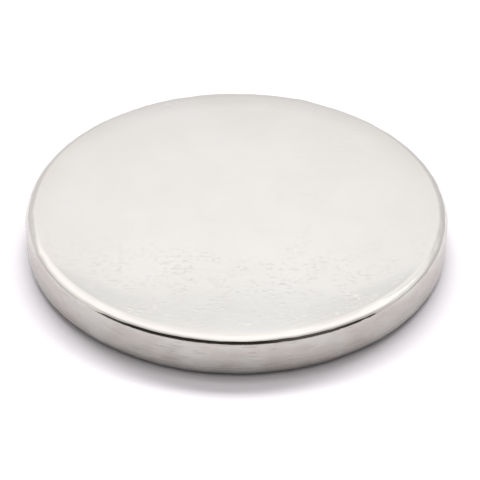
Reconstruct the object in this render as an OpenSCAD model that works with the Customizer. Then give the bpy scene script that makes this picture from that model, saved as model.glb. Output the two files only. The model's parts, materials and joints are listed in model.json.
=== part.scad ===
// Disc magnet: one solid sintered disc, plated all over, with a rounded edge round each pole face.
// Sizes are in millimetres. The disc lies flat with its axis on Z, and the origin is the
// centre of the lower pole face.

/* [Disc] */
// Diameter over the rim
disc_d = 18; // [6:0.5:60]
// Thickness from one pole face to the other
disc_t = 2; // [1:0.25:10]

/* [Edges] */
// Radius of the rounded edge between the rim and each pole face
edge_r = 0.4; // [0.1:0.05:0.45]

/* [Finish] */
// Colour of the nickel plating, as red, green and blue
plating_colour = [0.80, 0.78, 0.75]; // [0:0.01:1]

/* [Hidden] */
disc_r = disc_d / 2;
// Segments round the disc in the preview mesh
$fn = 128;

// Half of the disc's section, with its left side on the axis: a flat pole face above and
// below, and a straight rim that turns into each of them through a quarter round.
module half_section(r, t, edge) {
    square([r - edge, t]);
    translate([0, edge]) square([r, t - 2 * edge]);
    for (y = [edge, t - edge]) translate([r - edge, y]) circle(edge);
}

// The magnet itself, turned about its axis as one piece.
module disc_magnet() {
    color(plating_colour) rotate_extrude() half_section(disc_r, disc_t, edge_r);
}

disc_magnet();
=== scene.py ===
"""Disc magnet: the fine shape, the nickel finish and the studio of one plated disc.

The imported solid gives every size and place. One piece is modelled over it, with the same flat
pole faces, rounded edges and straight rim, and then takes the small marks that grinding,
tumbling, plating and handling leave. Lengths are in metres unless a name ends in _mm. The disc
lies on the plane z = 0 with its axis on Z.
"""

import json
import logging
import math
from dataclasses import dataclass
from enum import Enum
from typing import Union

import bmesh
import bpy
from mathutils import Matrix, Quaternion, Vector


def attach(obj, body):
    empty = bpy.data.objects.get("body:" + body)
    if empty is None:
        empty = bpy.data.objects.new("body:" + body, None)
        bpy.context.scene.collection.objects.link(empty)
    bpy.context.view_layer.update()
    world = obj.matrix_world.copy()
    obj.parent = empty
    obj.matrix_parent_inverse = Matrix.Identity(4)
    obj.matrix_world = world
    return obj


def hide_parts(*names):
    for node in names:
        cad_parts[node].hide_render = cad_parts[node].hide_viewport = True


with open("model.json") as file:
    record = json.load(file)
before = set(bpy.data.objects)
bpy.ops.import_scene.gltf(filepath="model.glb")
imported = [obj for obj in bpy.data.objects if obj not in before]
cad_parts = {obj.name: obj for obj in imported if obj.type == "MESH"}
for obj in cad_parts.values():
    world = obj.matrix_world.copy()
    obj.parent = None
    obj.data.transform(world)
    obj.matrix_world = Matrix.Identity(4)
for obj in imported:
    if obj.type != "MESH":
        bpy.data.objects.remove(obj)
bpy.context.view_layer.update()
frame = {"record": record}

MM = 0.001
LOG = logging.getLogger("disc_magnet")

Number = Union[int, float]
Feed = Union["Wire", bpy.types.NodeSocket, Number, tuple]
Pair = tuple[float, float]
Stretch = tuple[float, float, float]
Colour = tuple[float, float, float, float]

# The Mix node has a socket for each kind of value under one name, so its colours go by place.
MIX_SHARE = 0
MIX_LOW_COLOUR = 6
MIX_HIGH_COLOUR = 7
MIX_RESULT_COLOUR = 2


def degrees(start: float, full: float) -> Pair:
    """Gives a pair of angles in radians."""
    return math.radians(start), math.radians(full)


# ---------------------------------------------------------------------------------------------
# Node trees as Python expressions
# ---------------------------------------------------------------------------------------------


class Wire:
    """A value on its way between two nodes, which Python's arithmetic turns into Math nodes."""

    def __init__(self, bench: "Bench", socket: bpy.types.NodeSocket) -> None:
        """Keeps the output socket and the bench that its tree belongs to.

        Args:
            bench: the bench that adds nodes to the tree.
            socket: the output socket that carries the value.
        """
        self.bench = bench
        self.socket = socket

    def __add__(self, other: Feed) -> "Wire":
        """Adds."""
        return self.bench.maths("ADD", self, other)

    def __radd__(self, other: Feed) -> "Wire":
        """Adds, with the plain number first."""
        return self.bench.maths("ADD", other, self)

    def __sub__(self, other: Feed) -> "Wire":
        """Subtracts."""
        return self.bench.maths("SUBTRACT", self, other)

    def __rsub__(self, other: Feed) -> "Wire":
        """Subtracts from a plain number, so that 1 - mask works."""
        return self.bench.maths("SUBTRACT", other, self)

    def __mul__(self, other: Feed) -> "Wire":
        """Multiplies."""
        return self.bench.maths("MULTIPLY", self, other)

    def __rmul__(self, other: Feed) -> "Wire":
        """Multiplies, with the plain number first."""
        return self.bench.maths("MULTIPLY", other, self)

    def __truediv__(self, other: Feed) -> "Wire":
        """Divides."""
        return self.bench.maths("DIVIDE", self, other)

    def __rtruediv__(self, other: Feed) -> "Wire":
        """Divides a plain number."""
        return self.bench.maths("DIVIDE", other, self)

    def __pow__(self, other: Feed) -> "Wire":
        """Raises to a power."""
        return self.bench.maths("POWER", self, other)

    def __neg__(self) -> "Wire":
        """Changes the sign."""
        return self.bench.maths("MULTIPLY", self, -1.0)

    def __abs__(self) -> "Wire":
        """Drops the sign."""
        return self.bench.maths("ABSOLUTE", self)


@dataclass(frozen=True)
class Grain:
    """A cloudy pattern, and the two values between which what it marks fades in."""

    size_mm: float
    detail: float = 2.0
    roughness: float = 0.5
    stretch: Stretch | None = None
    span: Pair = (0.0, 1.0)


class Bench:
    """Fills one node tree, a node at a time."""

    def __init__(self, tree: bpy.types.NodeTree) -> None:
        """Empties the tree.

        Args:
            tree: the material's or world's node tree.
        """
        self.tree = tree
        tree.nodes.clear()

    def node(
        self,
        kind: str,
        settings: dict[str, object] | None = None,
        feeds: dict[Union[str, int], Feed] | None = None,
    ) -> bpy.types.Node:
        """Adds a node, sets it up and feeds its sockets.

        Args:
            kind: the node's type, such as ShaderNodeMath.
            settings: the node's own properties, which are set before its sockets.
            feeds: a value or a link for each input socket, by name or by place.

        Returns:
            The new node.
        """
        made = self.tree.nodes.new(kind)
        for name, value in (settings or {}).items():
            setattr(made, name, value)
        for name, value in (feeds or {}).items():
            self.feed(made.inputs[name], value)
        return made

    def feed(self, socket: bpy.types.NodeSocket, value: Feed) -> None:
        """Links a socket, or sets it where the value is a plain one.

        Args:
            socket: the input socket.
            value: a wire, an output socket, a number or a tuple of numbers.
        """
        if isinstance(value, Wire):
            self.tree.links.new(value.socket, socket)
        elif isinstance(value, bpy.types.NodeSocket):
            self.tree.links.new(value, socket)
        else:
            socket.default_value = value

    def wire(self, node: bpy.types.Node, name: Union[str, int] = 0) -> Wire:
        """Gives one of a node's outputs, by name or by place."""
        return Wire(self, node.outputs[name])

    def maths(self, operation: str, *values: Feed) -> Wire:
        """Adds a Math node.

        Args:
            operation: the node's operation, such as ADD.
            values: its inputs in order.

        Returns:
            The result.
        """
        feeds = dict(enumerate(values))
        return self.wire(self.node("ShaderNodeMath", {"operation": operation}, feeds))

    def ramp(self, value: Feed, low: Number, high: Number) -> Wire:
        """Rises smoothly from 0 to 1 while a value goes from low to high.

        Args:
            value: the value that is read.
            low: where the result is 0.
            high: where the result is 1. It may be below low, and the ramp then falls.

        Returns:
            The ramp's height, from 0 to 1.
        """
        feeds = {"Value": value, "From Min": low, "From Max": high}
        settings = {"interpolation_type": "SMOOTHSTEP"}
        return self.wire(self.node("ShaderNodeMapRange", settings, feeds))

    def axes(self, vector: Feed) -> tuple[Wire, Wire, Wire]:
        """Splits a vector into its three values."""
        split = self.node("ShaderNodeSeparateXYZ", feeds={"Vector": vector})
        return self.wire(split, "X"), self.wire(split, "Y"), self.wire(split, "Z")

    def scaled(self, vector: Feed, by: Stretch) -> Wire:
        """Stretches a vector along each axis.

        Args:
            vector: the vector.
            by: the factor along X, Y and Z.

        Returns:
            The stretched vector.
        """
        settings = {"operation": "MULTIPLY"}
        return self.wire(self.node("ShaderNodeVectorMath", settings, {0: vector, 1: by}))

    def cloud(self, at: Feed, grain: Grain) -> Wire:
        """Adds a cloudy pattern.

        Args:
            at: the coordinates, in millimetres.
            grain: the pattern's size, detail, roughness and stretch.

        Returns:
            The pattern's value, near 0.5.
        """
        if grain.stretch is not None:
            at = self.scaled(at, grain.stretch)
        feeds = {
            "Vector": at,
            "Scale": 1.0 / grain.size_mm,
            "Detail": grain.detail,
            "Roughness": grain.roughness,
        }
        return self.wire(self.node("ShaderNodeTexNoise", feeds=feeds), "Fac")

    def blend(self, share: Feed, low: Feed, high: Feed) -> Wire:
        """Mixes two colours.

        Args:
            share: how much of the second colour shows, from 0 to 1.
            low: the colour, with alpha, at a share of 0.
            high: the colour, with alpha, at a share of 1.

        Returns:
            The mixed colour.
        """
        mixed = self.node("ShaderNodeMix", {"data_type": "RGBA"})
        self.feed(mixed.inputs[MIX_SHARE], share)
        self.feed(mixed.inputs[MIX_LOW_COLOUR], low)
        self.feed(mixed.inputs[MIX_HIGH_COLOUR], high)
        return self.wire(mixed, MIX_RESULT_COLOUR)


# ---------------------------------------------------------------------------------------------
# Finishes
# ---------------------------------------------------------------------------------------------


@dataclass(frozen=True)
class RimBand:
    """A band round the rim, by where it starts and where it is full, from each surface."""

    below_top_mm: Pair
    above_foot_mm: Pair
    inside_edge_mm: Pair


@dataclass(frozen=True)
class Surface:
    """Where a point of the plating lies, as wires in the material's node tree."""

    bench: Bench
    place: Wire
    on_face: Wire
    on_rim: Wire
    on_stain: Wire
    smear: Wire


@dataclass(frozen=True)
class NickelPlating:
    """Bright nickel over a ground and tumbled blank: a mirror with a fine orange peel.

    The pole faces have a faint haze, and pimples and nicks that lie thickest toward the front.
    The rim is duller, stained and scored.
    """

    radius: float
    thickness: float
    warm: Colour = (0.655, 0.630, 0.611, 1.0)
    pale: Colour = (0.668, 0.652, 0.634, 1.0)
    dull: Colour = (0.492, 0.463, 0.430, 1.0)
    worn: Colour = (0.548, 0.541, 0.508, 1.0)
    dull_band: RimBand = RimBand(
        below_top_mm=(0.255, 0.325),
        above_foot_mm=(0.28, 0.60),
        inside_edge_mm=(0.2, 0.1),
    )
    stain_band: RimBand = RimBand(
        below_top_mm=(0.14, 0.21),
        above_foot_mm=(0.14, 0.30),
        inside_edge_mm=(0.3, 0.1),
    )
    face_edge_mm: Pair = (0.5, 0.75)
    veil: float = 0.07
    haze_roughness: float = 0.6
    haze_ior: float = 2.2
    face_roughness: float = 0.06
    face_swing: float = 0.02
    rim_roughness: float = 0.33
    rim_swing: float = 0.15
    mid_grain: float = 0.5
    tint: Grain = Grain(2.6, span=(0.35, 0.65))
    smears: Grain = Grain(2.0, detail=6.0, roughness=0.62, stretch=(1.0, 1.0, 2.2), span=(0.38, 0.62))
    breath: Grain = Grain(1.3, detail=3.0)
    peel: Grain = Grain(0.125, detail=1.5, roughness=0.45)
    peel_height_mm: float = 0.00035
    peel_rim_loss: float = 0.6
    streaks: Grain = Grain(0.55, detail=3.0, roughness=0.6, stretch=(1.0, 1.0, 3.0))
    streak_height_mm: float = 0.006
    scores: Grain = Grain(0.9, detail=1.0, stretch=(1.0, 1.0, 12.0), span=(0.64, 0.72))
    score_depth_mm: float = 0.006
    patches: Grain = Grain(0.8, span=(0.40, 0.62))
    back_share: float = 0.08
    front_edge_mm: Pair = (-2.5, -7.5)
    pimple_mm: float = 0.26
    pimple_edge: Pair = (0.26, 0.02)
    pimple_height_mm: float = 0.016
    nicks: Grain = Grain(0.20, stretch=(0.7, 1.2, 1.0), span=(0.55, 0.72))
    nick_height_mm: float = 0.016
    hairlines: tuple[Grain, ...] = (
        Grain(0.55, detail=1.0, stretch=(0.5, 5.0, 1.0), span=(0.64, 0.72)),
        Grain(0.55, detail=1.0, stretch=(4.0, 0.6, 1.0), span=(0.64, 0.72)),
    )
    hairline_depth_mm: float = 0.0003

    def material(self) -> bpy.types.Material:
        """Makes the plating's material.

        Returns:
            The material, which reads the piece's own coordinates.
        """
        made = bpy.data.materials.new("nickel_plating")
        made.use_nodes = True
        bench = Bench(made.node_tree)
        at = self.surface(bench)
        bump = bench.node(
            "ShaderNodeBump",
            feeds={"Strength": 1.0, "Distance": 1.0, "Height": self.relief(at)},
        )
        shader = bench.node(
            "ShaderNodeBsdfPrincipled",
            feeds={
                "Metallic": 1.0,
                "Base Color": self.colour(at),
                "Roughness": self.roughness(at),
                "Coat Weight": at.on_face,
                "Coat Roughness": self.haze_roughness,
                "Coat IOR": self.haze_ior,
            },
        )
        bench.feed(shader.inputs["Normal"], bench.wire(bump, "Normal"))
        out = bench.node("ShaderNodeOutputMaterial")
        bench.feed(out.inputs["Surface"], bench.wire(shader, "BSDF"))
        return made

    def surface(self, bench: Bench) -> Surface:
        """Tells the pole faces, the dull rim and its stain apart.

        Args:
            bench: the bench that adds the nodes.

        Returns:
            The place in millimetres, a mask for each region, and the rim's smears.
        """
        place = bench.wire(bench.node("ShaderNodeTexCoord"), "Object")
        place = bench.scaled(place, (1 / MM, 1 / MM, 1 / MM))
        across, along, up = bench.axes(place)
        from_axis = (across * across + along * along) ** 0.5
        start, full = self.face_edge_mm
        radius_mm = self.radius / MM
        return Surface(
            bench=bench,
            place=place,
            on_face=bench.ramp(from_axis, radius_mm - start, radius_mm - full),
            on_rim=self.band(bench, self.dull_band, from_axis, up),
            on_stain=self.band(bench, self.stain_band, from_axis, up),
            smear=bench.cloud(place, self.smears),
        )

    def band(self, bench: Bench, band: RimBand, from_axis: Wire, up: Wire) -> Wire:
        """Masks one band round the rim.

        Args:
            bench: the bench that adds the nodes.
            band: the band.
            from_axis: the distance from the disc's axis, in millimetres.
            up: the height above the bottom face, in millimetres.

        Returns:
            The mask, which is 1 where the band is full.
        """
        top_start, top_full = band.below_top_mm
        edge_start, edge_full = band.inside_edge_mm
        top_mm = self.thickness / MM
        radius_mm = self.radius / MM
        below_top = bench.ramp(up, top_mm - top_start, top_mm - top_full)
        above_foot = bench.ramp(up, *band.above_foot_mm)
        near_edge = bench.ramp(from_axis, radius_mm - edge_start, radius_mm - edge_full)
        return below_top * above_foot * near_edge

    def colour(self, at: Surface) -> Wire:
        """Colours the nickel, its haze and the rim's stain.

        Args:
            at: where the point lies.

        Returns:
            The base colour.
        """
        bench = at.bench
        share = bench.ramp(bench.cloud(at.place, self.tint), *self.tint.span)
        nickel = bench.blend(share, self.warm, self.pale)
        left = 1.0 - self.veil
        nickel = bench.blend(at.on_face, nickel, bench.scaled(nickel, (left, left, left)))
        stain = bench.blend(bench.ramp(at.smear, *self.smears.span), self.dull, self.worn)
        return bench.blend(at.on_stain, nickel, stain)

    def roughness(self, at: Surface) -> Wire:
        """Makes the pole faces and rounded edges bright and the rim duller.

        Args:
            at: where the point lies.

        Returns:
            The roughness.
        """
        breath = at.bench.cloud(at.place, self.breath)
        bright = self.face_roughness + (breath - self.mid_grain) * self.face_swing
        dull = self.rim_roughness + (at.smear - self.mid_grain) * self.rim_swing
        return bright + at.on_rim * (dull - bright)

    def relief(self, at: Surface) -> Wire:
        """Raises the orange peel, the marks on the pole faces and the rim's streaks and scores.

        Args:
            at: where the point lies.

        Returns:
            The height, in metres.
        """
        bench = at.bench
        peel = bench.cloud(at.place, self.peel) * (self.peel_height_mm * MM)
        height = peel * (1.0 - at.on_rim * self.peel_rim_loss)
        height = height + self.pimples(at) * at.on_face
        streaks = bench.cloud(at.place, self.streaks)
        height = height + streaks * at.on_rim * (self.streak_height_mm * MM)
        scores = bench.ramp(bench.cloud(at.place, self.scores), *self.scores.span)
        return height - scores * at.on_rim * (self.score_depth_mm * MM)

    def pimples(self, at: Surface) -> Wire:
        """Scatters plating pimples, nicks and short hairlines.

        Args:
            at: where the point lies.

        Returns:
            The height of the marks, in metres.
        """
        bench = at.bench
        cells = bench.node(
            "ShaderNodeTexVoronoi",
            feeds={"Vector": at.place, "Scale": 1.0 / self.pimple_mm, "Randomness": 1.0},
        )
        strength = bench.ramp(bench.cloud(at.place, self.patches), *self.patches.span)
        toward_front = bench.ramp(bench.axes(at.place)[1], *self.front_edge_mm)
        strength = strength * (self.back_share + toward_front * (1.0 - self.back_share))
        domes = bench.ramp(bench.wire(cells, "Distance"), *self.pimple_edge) * strength
        height = domes * (self.pimple_height_mm * MM)
        nicks = bench.ramp(bench.cloud(at.place, self.nicks), *self.nicks.span) * strength
        height = height + nicks * (self.nick_height_mm * MM)
        for hairline in self.hairlines:
            marks = bench.ramp(bench.cloud(at.place, hairline), *hairline.span)
            height = height - marks * (self.hairline_depth_mm * MM)
        return height


@dataclass(frozen=True)
class MattPaper:
    """The studio's plain pale sweep."""

    colour: Colour = (0.402, 0.388, 0.405, 1.0)

    def material(self) -> bpy.types.Material:
        """Makes the paper's material.

        Returns:
            The material.
        """
        made = bpy.data.materials.new("matt_paper")
        made.use_nodes = True
        bench = Bench(made.node_tree)
        shader = bench.node(
            "ShaderNodeBsdfPrincipled",
            feeds={"Base Color": self.colour, "Roughness": 1.0, "Specular IOR Level": 0.0},
        )
        out = bench.node("ShaderNodeOutputMaterial")
        bench.feed(out.inputs["Surface"], bench.wire(shader, "BSDF"))
        return made


# ---------------------------------------------------------------------------------------------
# The magnet
# ---------------------------------------------------------------------------------------------


class PoleFace(Enum):
    """The disc's flat faces, each by the way that it faces along Z."""

    BOTTOM = -1.0
    TOP = 1.0


@dataclass(frozen=True)
class Dent:
    """A small pit in the top face, by its bearing from the front and its reach from the axis.

    The reach is a share of the disc's radius.
    """

    bearing: float
    reach: float
    size: float
    depth: float


DENTS = (
    Dent(math.radians(37.0), 0.88, 0.20 * MM, 0.014 * MM),
    Dent(math.radians(3.5), 0.905, 0.15 * MM, 0.009 * MM),
    Dent(math.radians(17.0), 0.90, 0.12 * MM, 0.007 * MM),
    Dent(math.radians(13.5), 0.85, 0.12 * MM, 0.006 * MM),
    Dent(math.radians(-41.0), 0.83, 0.14 * MM, 0.006 * MM),
    Dent(math.radians(-24.5), 0.86, 0.13 * MM, 0.005 * MM),
    Dent(math.radians(22.0), 0.82, 0.14 * MM, 0.006 * MM),
    Dent(math.radians(28.5), 0.93, 0.12 * MM, 0.006 * MM),
    Dent(math.radians(36.0), 0.82, 0.14 * MM, 0.006 * MM),
    Dent(math.radians(42.0), 0.92, 0.12 * MM, 0.005 * MM),
    Dent(math.radians(-11.0), 0.60, 0.18 * MM, 0.006 * MM),
    Dent(math.radians(-34.5), 0.75, 0.16 * MM, 0.006 * MM),
    Dent(math.radians(-157.0), 0.92, 0.16 * MM, 0.003 * MM),
)


@dataclass
class MagnetDisc:
    """The plated disc, as one closed mesh, with the soft shoulders that tumbling gives."""

    name: str
    radius: float
    thickness: float
    edge: float
    segments: int = 640
    edge_steps: int = 14
    edge_profile: float = 0.5
    rim_rows: int = 12
    shoulder: float = 1.1 * MM
    shoulder_drop: float = 0.012 * MM
    shoulder_rings: int = 8
    hold: float = 0.03 * MM
    quad_corners: int = 4
    facing: float = 0.9
    dent_margin: float = 1.5
    dent_cuts: int = 4
    ripples: tuple[Pair, ...] = ((3.0 * MM, 0.045 * MM), (0.8 * MM, 0.026 * MM))
    ripple_layers: int = 1
    ripple_level: float = 0.75
    ripple_fade: float = 0.3

    def build(self) -> bpy.types.Object:
        """Models the disc.

        Returns:
            The finished piece, with its place in its mesh.
        """
        bpy.ops.object.select_all(action="DESELECT")
        bpy.ops.mesh.primitive_cylinder_add(
            vertices=self.segments,
            radius=self.radius,
            depth=self.thickness - 2 * self.drop(),
            location=(0.0, 0.0, self.thickness / 2),
        )
        piece = bpy.context.object
        piece.name = self.name
        piece.data.name = self.name
        bpy.ops.object.transform_apply(location=True, rotation=True, scale=True)
        bpy.ops.object.mode_set(mode="EDIT")
        self.round_edges(piece)
        self.cut_rim()
        for side in PoleFace:
            self.crown_pole_face(piece, side)
        for dent in DENTS:
            self.press_dent(piece, dent)
        bpy.ops.mesh.select_all(action="SELECT")
        bpy.ops.mesh.normals_make_consistent(inside=False)
        bpy.ops.object.mode_set(mode="OBJECT")
        bpy.ops.object.shade_smooth()
        self.ripple_edges(piece)
        return piece

    def drop(self) -> float:
        """Gives how far the rounded edges start below the pole faces."""
        return self.shoulder_drop * (1 + 2 * self.hold / self.shoulder)

    def round_edges(self, piece: bpy.types.Object) -> None:
        """Rounds both edges with a quarter circle.

        Args:
            piece: the disc, in edit mode.
        """
        shape = bmesh.from_edit_mesh(piece.data)
        bpy.ops.mesh.select_mode(type="EDGE")
        bpy.ops.mesh.select_all(action="DESELECT")
        for edge in shape.edges:
            low, high = (corner.co.z for corner in edge.verts)
            edge.select_set(abs(low - high) < self.hold)
        shape.select_flush_mode()
        bmesh.update_edit_mesh(piece.data)
        bpy.ops.mesh.bevel(
            offset=self.edge,
            offset_type="OFFSET",
            segments=self.edge_steps,
            profile=self.edge_profile,
        )

    def cut_rim(self) -> None:
        """Cuts the straight rim into rows."""
        low = self.drop() + self.edge + self.hold
        high = self.thickness - low
        for row in range(self.rim_rows + 1):
            height = low + (high - low) * row / self.rim_rows
            bpy.ops.mesh.select_all(action="SELECT")
            bpy.ops.mesh.bisect(plane_co=(0.0, 0.0, height), plane_no=(0.0, 0.0, 1.0))

    def crown_pole_face(self, piece: bpy.types.Object, side: PoleFace) -> None:
        """Raises a pole face ring by ring off its soft shoulder, and grids the flat inside.

        Args:
            piece: the disc, in edit mode.
            side: the face that is raised.
        """
        bpy.ops.mesh.select_mode(type="FACE")
        bpy.ops.mesh.select_all(action="DESELECT")
        shape = bmesh.from_edit_mesh(piece.data)
        for face in shape.faces:
            whole = len(face.verts) > self.quad_corners
            face.select_set(whole and face.normal.z * side.value > self.facing)
        bmesh.update_edit_mesh(piece.data)
        lip = 2 * self.shoulder_drop / self.shoulder * self.hold
        bpy.ops.mesh.inset(thickness=self.hold, depth=lip)
        for ring in range(self.shoulder_rings):
            below = (1.0 - ring / self.shoulder_rings) ** 2
            above = (1.0 - (ring + 1) / self.shoulder_rings) ** 2
            bpy.ops.mesh.inset(
                thickness=self.shoulder / self.shoulder_rings,
                depth=self.shoulder_drop * (below - above),
            )
        bpy.ops.mesh.delete(type="ONLY_FACE")
        bpy.ops.mesh.select_mode(type="EDGE")
        bpy.ops.mesh.select_all(action="DESELECT")
        shape = bmesh.from_edit_mesh(piece.data)
        for edge in shape.edges:
            edge.select_set(edge.is_boundary)
        bmesh.update_edit_mesh(piece.data)
        quarter = self.segments // 4
        bpy.ops.mesh.fill_grid(span=quarter)

    def press_dent(self, piece: bpy.types.Object, dent: Dent) -> None:
        """Refines the top face round a dent and presses its middle in.

        Args:
            piece: the disc, in edit mode.
            dent: the dent.
        """
        reach = dent.reach * self.radius
        across = reach * math.sin(dent.bearing)
        along = -reach * math.cos(dent.bearing)
        place = Vector((across, along, self.thickness))
        bpy.ops.mesh.select_mode(type="FACE")
        bpy.ops.mesh.select_all(action="DESELECT")
        shape = bmesh.from_edit_mesh(piece.data)
        margin = dent.size * self.dent_margin
        for face in shape.faces:
            face.select_set((face.calc_center_median() - place).length < margin)
        bmesh.update_edit_mesh(piece.data)
        bpy.ops.mesh.subdivide(number_cuts=self.dent_cuts)
        bpy.ops.mesh.select_mode(type="VERT")
        bpy.ops.mesh.select_all(action="DESELECT")
        shape = bmesh.from_edit_mesh(piece.data)
        nearest = min(shape.verts, key=lambda corner: (corner.co - place).length)
        nearest.select_set(True)
        bmesh.update_edit_mesh(piece.data)
        bpy.ops.transform.translate(
            value=(0.0, 0.0, -dent.depth),
            use_proportional_edit=True,
            proportional_edit_falloff="SMOOTH",
            proportional_size=dent.size,
        )

    def ripple_edges(self, piece: bpy.types.Object) -> None:
        """Makes the rounded edges and the rim faintly uneven.

        Nearly all of it dips inward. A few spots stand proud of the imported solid's radius, by
        less than a hundredth of a millimetre.

        Args:
            piece: the disc, in object mode.
        """
        group = piece.vertex_groups.new(name="edges")
        inside = self.radius - self.edge
        fade = self.edge * self.ripple_fade
        for corner in piece.data.vertices:
            from_axis = math.hypot(corner.co.x, corner.co.y)
            weight = min(1.0, max(0.0, (from_axis - inside) / fade))
            group.add([corner.index], weight, "REPLACE")
        bpy.context.view_layer.objects.active = piece
        for size, depth in self.ripples:
            clouds = bpy.data.textures.new("edge_ripple", type="CLOUDS")
            clouds.noise_scale = size
            clouds.noise_depth = self.ripple_layers
            ripple = piece.modifiers.new("ripple", "DISPLACE")
            ripple.texture = clouds
            ripple.texture_coords = "LOCAL"
            ripple.vertex_group = group.name
            ripple.strength = depth
            ripple.mid_level = self.ripple_level
            bpy.ops.object.modifier_apply(modifier=ripple.name)
        piece.vertex_groups.clear()


# ---------------------------------------------------------------------------------------------
# The studio
# ---------------------------------------------------------------------------------------------


@dataclass(frozen=True)
class Softbox:
    """A softbox: its turn from straight behind, its climb from the sweep, its size and power."""

    name: str
    turn: float
    climb: float
    width: float
    height: float
    power: float
    distance: float = 0.40


KEY_BOX = Softbox(
    name="studio_key_box",
    turn=math.radians(-2.5),
    climb=math.radians(57.7),
    width=0.50,
    height=0.110,
    power=4.12,
)
TOP_BOX = Softbox(
    name="studio_top_box",
    turn=0.0,
    climb=math.radians(82.0),
    width=0.16,
    height=0.070,
    power=0.46,
)


@dataclass(frozen=True)
class Outlook:
    """A direction from the disc to the dome, as wires in the world's node tree."""

    bench: Bench
    across: Wire
    along: Wire
    up: Wire
    climb: Wire
    turn: Wire


@dataclass(frozen=True)
class Dome:
    """The walls and ceiling that the nickel mirrors, with a dark doorway on the camera's side.

    Climbs are angles from the sweep and turns are angles from the front. Each pair says where
    a soft edge starts and where it is full. A pair that degrees() makes is in radians, and the
    others are parts of a direction of length 1, or how far outside an oval it points.
    """

    wall_colour: Colour = (1.0, 0.99, 0.98, 1.0)
    low_glow: float = 0.93
    high_rise: float = 0.50
    most_glow: float = 1.345
    lean: float = math.radians(25.3)
    lean_edge: Pair = (0.0, 0.40)
    right_fall: float = 0.11
    right_edge: Pair = (0.1, 0.6)
    window_gain: float = 0.13
    window_side: Pair = (0.14, 0.02)
    window_foot: Pair = degrees(31.5, 35.0)
    window_head: Pair = degrees(44.0, 40.0)
    beam_colour: Colour = (0.985, 1.0, 0.995, 1.0)
    beam_fall: float = 0.25
    beam_side: Pair = (0.22, 0.12)
    beam_foot: Pair = degrees(38.6, 38.95)
    beam_head: Pair = degrees(44.0, 40.4)
    panel_glow: float = 1.52
    panel_slant: float = 1.6
    panel_edge: Pair = (-1.83, -1.59)
    panel_foot: Pair = (0.50, 0.64)
    shutter_side: Pair = (0.05, 0.3)
    shutter_back: Pair = (0.34, 0.44)
    doorway_colour: Colour = (1.0, 0.90, 0.84, 1.0)
    doorway_glow: float = 0.045
    doorway_turn: float = math.radians(71.0)
    doorway_climb: float = math.radians(35.2)
    doorway_edge: Pair = (1.07, 0.93)
    halo_fall: float = 0.42
    halo_edge: Pair = (3.6, 1.1)
    halo_foot: Pair = degrees(8.0, 24.0)
    halo_middle: float = 0.5
    halo_side: Pair = (0.05, 0.3)
    halo_wing_fall: float = 0.7
    halo_wing: Pair = degrees(64.0, 84.0)
    room_glow: float = 0.10
    room_turn: float = math.radians(37.0)
    room_climb: float = math.radians(16.0)
    room_width: float = math.radians(22.0)
    room_height: float = math.radians(14.0)
    room_edge: Pair = (1.3, 0.2)
    backdrop_glow: float = 1.2

    def hang(self) -> None:
        """Makes the dome the scene's world."""
        world = bpy.data.worlds.new("studio_dome")
        world.use_nodes = True
        bpy.context.scene.world = world
        bench = Bench(world.node_tree)
        to = self.outlook(bench)
        beam = self.beam(to)
        oval = self.oval(to)
        doorway = bench.ramp(oval, *self.doorway_edge)
        glow = self.walls(to, beam)
        glow = glow * (1.0 - self.halo(to, oval) * self.halo_fall)
        glow = glow + doorway * (self.inside_doorway(to) - glow)
        colour = bench.blend(beam, self.wall_colour, self.beam_colour)
        colour = bench.blend(doorway, colour, self.doorway_colour)
        seen = bench.wire(bench.node("ShaderNodeLightPath"), "Is Camera Ray")
        glow = glow + seen * (self.backdrop_glow - glow)
        back = bench.node("ShaderNodeBackground", feeds={"Color": colour, "Strength": glow})
        out = bench.node("ShaderNodeOutputWorld")
        bench.feed(out.inputs["Surface"], bench.wire(back, 0))

    def outlook(self, bench: Bench) -> Outlook:
        """Reads the direction that is looked in.

        Args:
            bench: the bench that adds the nodes.

        Returns:
            The direction, as its three parts and as its climb and turn.
        """
        across, along, up = bench.axes(bench.wire(bench.node("ShaderNodeTexCoord"), "Generated"))
        climb = bench.maths("ARCSINE", up)
        turn = bench.maths("ARCTAN2", across, -along)
        return Outlook(bench, across, along, up, climb, turn)

    def beam(self, to: Outlook) -> Wire:
        """Masks the beam that crosses the top of the window.

        Args:
            to: the direction that is looked in.

        Returns:
            The mask.
        """
        beam = to.bench.ramp(to.climb, *self.beam_foot)
        beam = beam * to.bench.ramp(to.climb, *self.beam_head)
        return beam * to.bench.ramp(abs(to.across), *self.beam_side)

    def walls(self, to: Outlook, beam: Wire) -> Wire:
        """Lights the walls and ceiling, with their window, beam and bright panel.

        Args:
            to: the direction that is looked in.
            beam: the beam's mask.

        Returns:
            The glow.
        """
        bench = to.bench
        lean = to.up * math.cos(self.lean) - to.along * math.sin(self.lean)
        glow = self.low_glow + bench.ramp(lean, *self.lean_edge) * self.high_rise
        glow = bench.maths("MINIMUM", glow, self.most_glow)
        window = bench.ramp(abs(to.across), *self.window_side)
        window = window * bench.ramp(to.climb, *self.window_foot)
        window = window * bench.ramp(to.climb, *self.window_head)
        glow = glow + window * self.window_gain
        glow = glow - beam * self.beam_fall
        glow = glow - bench.ramp(to.across, *self.right_edge) * self.right_fall
        panel = bench.ramp(-to.along - to.up * self.panel_slant, *self.panel_edge)
        panel = panel * bench.ramp(to.up, *self.panel_foot)
        shutter = bench.ramp(to.across, *self.shutter_side)
        shutter = shutter * bench.ramp(to.along, *self.shutter_back)
        panel = panel * (1.0 - shutter)
        return glow + panel * (self.panel_glow - glow)

    def oval(self, to: Outlook) -> Wire:
        """Measures how far outside the doorway a direction is.

        Args:
            to: the direction that is looked in.

        Returns:
            The measure, which is 1 on the doorway's outline and less inside it.
        """
        aside = to.turn / self.doorway_turn
        above = to.climb / self.doorway_climb
        return aside * aside + above * above

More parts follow.
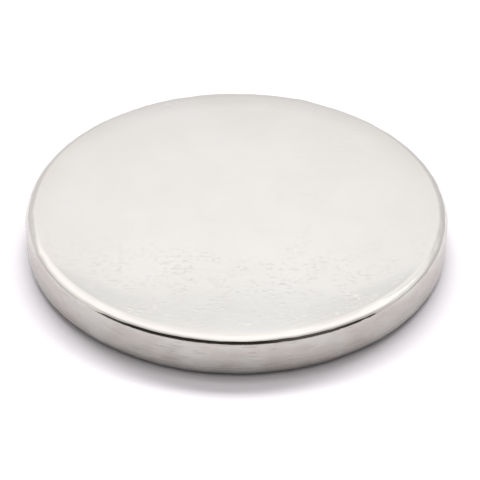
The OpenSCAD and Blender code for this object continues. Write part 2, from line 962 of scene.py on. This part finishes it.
    def halo(self, to: Outlook, oval: Wire) -> Wire:
        """Masks the wall round the doorway that is in half shade.

        Args:
            to: the direction that is looked in.
            oval: how far outside the doorway it is.

        Returns:
            The mask.
        """
        bench = to.bench
        halo = bench.ramp(oval, *self.halo_edge) * bench.ramp(to.climb, *self.halo_foot)
        aside = bench.ramp(abs(to.across), *self.halo_side)
        halo = halo * (self.halo_middle + aside * (1.0 - self.halo_middle))
        wing = bench.ramp(abs(to.turn), *self.halo_wing)
        return halo * (1.0 - wing * self.halo_wing_fall)

    def inside_doorway(self, to: Outlook) -> Wire:
        """Lights the dark inside of the doorway, with a paler room on one side.

        Args:
            to: the direction that is looked in.

        Returns:
            The glow.
        """
        aside = (to.turn - self.room_turn) / self.room_width
        above = (to.climb - self.room_climb) / self.room_height
        room = to.bench.ramp(aside * aside + above * above, *self.room_edge)
        return self.doorway_glow + room * self.room_glow


@dataclass
class Studio:
    """A pale sweep with softboxes over it, and the camera that looks at the disc."""

    target: Vector
    distance: float
    elevation: float = math.radians(37.13)
    roll: float = math.radians(0.45)
    lens_mm: float = 139.5
    sensor_mm: float = 36.0
    shift: Pair = (0.0070833333333, 0.00125)
    clip: Pair = (0.001, 10.0)
    floor_half: float = 0.22

    def floor(self) -> bpy.types.Object:
        """Lays the sweep.

        Returns:
            The sweep.
        """
        bpy.ops.object.select_all(action="DESELECT")
        bpy.ops.mesh.primitive_plane_add(size=2 * self.floor_half, location=(0.0, 0.0, 0.0))
        sheet = bpy.context.object
        sheet.name = "studio_sweep"
        sheet.data.materials.append(MattPaper().material())
        return sheet

    def softbox(self, box: Softbox) -> bpy.types.Object:
        """Hangs one softbox, which lights the sweep and stays out of the mirror finish.

        Args:
            box: where the softbox hangs, its size and its power.

        Returns:
            The lamp.
        """
        flat = math.cos(box.climb)
        away = Vector((-flat * math.sin(box.turn), flat * math.cos(box.turn), math.sin(box.climb)))
        bpy.ops.object.light_add(type="AREA", location=away * box.distance)
        lamp = bpy.context.object
        lamp.name = box.name
        lamp.data.shape = "RECTANGLE"
        lamp.data.size = box.width
        lamp.data.size_y = box.height
        lamp.data.energy = box.power
        lamp.rotation_mode = "QUATERNION"
        lamp.rotation_quaternion = away.to_track_quat("Z", "Y")
        lamp.visible_glossy = False
        return lamp

    def camera(self) -> bpy.types.Object:
        """Sets up the camera.

        Returns:
            The camera, which is the scene's own.
        """
        data = bpy.data.cameras.new("studio_camera")
        data.lens = self.lens_mm
        data.sensor_width = self.sensor_mm
        data.clip_start, data.clip_end = self.clip
        data.shift_x, data.shift_y = self.shift
        camera = bpy.data.objects.new("studio_camera", data)
        bpy.context.scene.collection.objects.link(camera)
        away = Vector((0.0, -math.cos(self.elevation), math.sin(self.elevation)))
        camera.location = self.target + away * self.distance
        turn = (-away).to_track_quat("-Z", "Y")
        camera.rotation_mode = "QUATERNION"
        camera.rotation_quaternion = turn @ Quaternion((0.0, 0.0, 1.0), self.roll)
        bpy.context.scene.camera = camera
        return camera


CAMERA_RADII = 8.94


def main() -> None:
    """Builds the magnet and its studio, and reports each piece."""
    logging.basicConfig(level=logging.INFO, format="%(name)s: %(message)s")
    mounts = {mount["name"]: mount for mount in frame["record"]["mounts"]}
    rim = mounts["rim"]["dims"]
    thickness = mounts["pole_face_top"]["pos_m"][2] - mounts["pole_face_bottom"]["pos_m"][2]
    magnet = MagnetDisc(
        name="disc_magnet_plated",
        radius=rim["r_mm"] * MM,
        thickness=thickness,
        edge=(thickness - rim["length_mm"] * MM) / 2,
    )
    piece = magnet.build()
    piece.data.materials.clear()
    piece.data.materials.append(NickelPlating(magnet.radius, magnet.thickness).material())
    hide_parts("disc_magnet")
    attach(piece, "root")
    LOG.info("%s: %d faces", piece.name, len(piece.data.polygons))
    studio = Studio(target=Vector((0.0, 0.0, 0.0)), distance=CAMERA_RADII * magnet.radius)
    studio.floor()
    Dome().hang()
    studio.softbox(KEY_BOX)
    studio.softbox(TOP_BOX)
    studio.camera()
    bpy.context.scene.view_settings.view_transform = "Standard"


if __name__ == "__main__":
    main()
